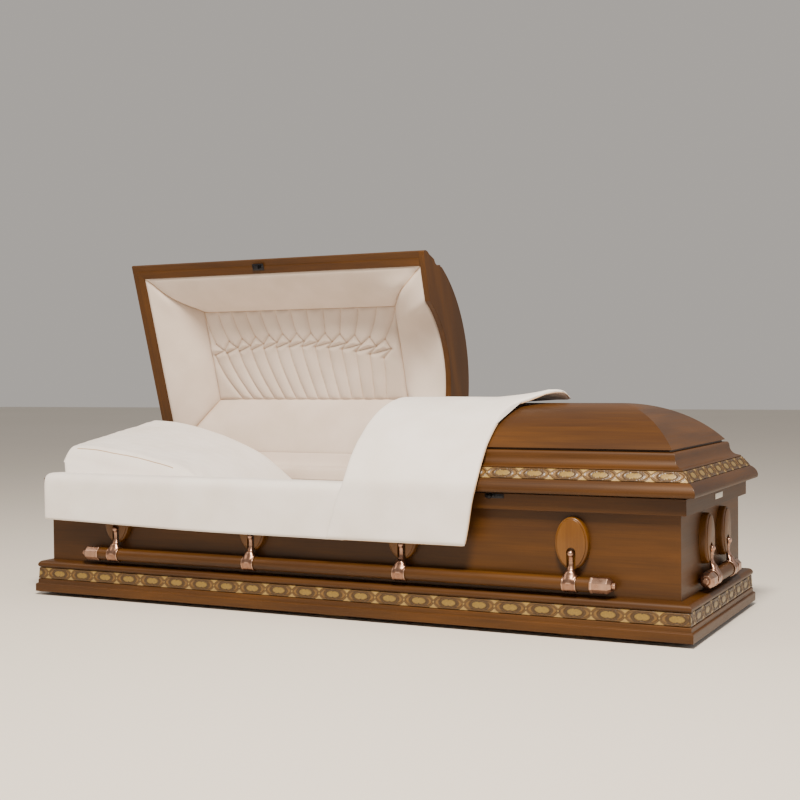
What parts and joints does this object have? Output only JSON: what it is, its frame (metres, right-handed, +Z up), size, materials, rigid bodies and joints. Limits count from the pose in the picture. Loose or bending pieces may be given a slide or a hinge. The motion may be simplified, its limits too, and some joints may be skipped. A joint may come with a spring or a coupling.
{
  "type": "funeral casket",
  "caption": "Half-couch hardwood funeral casket, its head lid open: moulded plinth and lid, ornament bands, swing-bar handles and pale crepe bedding.",
  "frame": {"origin": "on the floor under the middle of the casket, at the middle runner's underside", "axes": "+X from the head to the foot, +Y from the front to the hinge side, +Z up"},
  "size_m": [2.124, 0.895, 1.0792],
  "materials": {
    "lacquered_wood": "stained, satin lacquer",
    "plain_wood": "bare",
    "ornament_print": "gilt pattern, satin",
    "antique_copper": "antiqued copper plating, satin",
    "black_metal": "satin black",
    "ivory_plate": "satin",
    "crepe": "matt off-white crepe"
  },
  "bodies": {
    "body": {"back_lug_1": "lacquered_wood", "back_lug_2": "lacquered_wood", "back_lug_3": "lacquered_wood", "back_lug_4": "lacquered_wood", "body_lining": "crepe", "bottom_board": "plain_wood", "carcass_walls": "lacquered_wood", "end_plate": "ivory_plate", "foot_lug_1": "lacquered_wood", "foot_lug_2": "lacquered_wood", "front_latch": "black_metal", "front_lug_1": "lacquered_wood", "front_lug_2": "lacquered_wood", "front_lug_3": "lacquered_wood", "front_lug_4": "lacquered_wood", "front_overlay": "crepe", "head_lug_1": "lacquered_wood", "head_lug_2": "lacquered_wood", "lid_hinge": "black_metal", "mattress": "crepe", "pillow": "crepe", "plinth_moulding": "lacquered_wood", "plinth_ornament": "ornament_print", "runner_foot": "plain_wood", "runner_head": "plain_wood", "runner_middle": "plain_wood", "top_rail": "lacquered_wood"},
    "head_lid": {"head_lid_border_lining": "crepe", "head_lid_catch": "black_metal", "head_lid_crown": "lacquered_wood", "head_lid_header": "lacquered_wood", "head_lid_moulding": "lacquered_wood", "head_lid_ornament": "ornament_print", "head_lid_tufted_panel": "crepe"},
    "foot_lid": {"foot_lid_crown": "lacquered_wood", "foot_lid_header": "lacquered_wood", "foot_lid_lining": "crepe", "foot_lid_moulding": "lacquered_wood", "foot_lid_ornament": "ornament_print", "foot_throw": "crepe"},
    "front_bar": {"front_arm_1": "antique_copper", "front_arm_2": "antique_copper", "front_arm_3": "antique_copper", "front_arm_4": "antique_copper", "front_bar": "lacquered_wood", "front_bar_cap_1": "antique_copper", "front_bar_cap_2": "antique_copper"},
    "foot_bar": {"foot_arm_1": "antique_copper", "foot_arm_2": "antique_copper", "foot_bar": "lacquered_wood", "foot_bar_cap_1": "antique_copper", "foot_bar_cap_2": "antique_copper"},
    "back_bar": {"back_arm_1": "antique_copper", "back_arm_2": "antique_copper", "back_arm_3": "antique_copper", "back_arm_4": "antique_copper", "back_bar": "lacquered_wood"},
    "head_bar": {"head_arm_1": "antique_copper", "head_arm_2": "antique_copper", "head_bar": "lacquered_wood"}
  },
  "joints": [
    {"name": "head_lid_hinge", "type": "hinge", "parent": "body", "child": "head_lid", "pos_m": [0, 0.3665, 0.3705], "axis": [-1, 0, 0], "range_deg": [-73, 0], "deforming": ["pillow", "front_overlay"]},
    {"name": "foot_lid_hinge", "type": "hinge", "parent": "body", "child": "foot_lid", "pos_m": [0, 0.3665, 0.3705], "axis": [-1, 0, 0], "range_deg": [0, 73]},
    {"name": "front_bar_swing", "type": "hinge", "parent": "body", "child": "front_bar", "pos_m": [0, -0.34, 0.22], "axis": [-1, 0, 0], "range_deg": [0, 75]},
    {"name": "back_bar_swing", "type": "hinge", "parent": "body", "child": "back_bar", "pos_m": [0, 0.34, 0.22], "axis": [1, 0, 0], "range_deg": [0, 75]},
    {"name": "foot_bar_swing", "type": "hinge", "parent": "body", "child": "foot_bar", "pos_m": [1.0335, 0, 0.22], "axis": [0, -1, 0], "range_deg": [0, 75]},
    {"name": "head_bar_swing", "type": "hinge", "parent": "body", "child": "head_bar", "pos_m": [-1.0335, 0, 0.22], "axis": [0, 1, 0], "range_deg": [0, 75]}
  ]
}
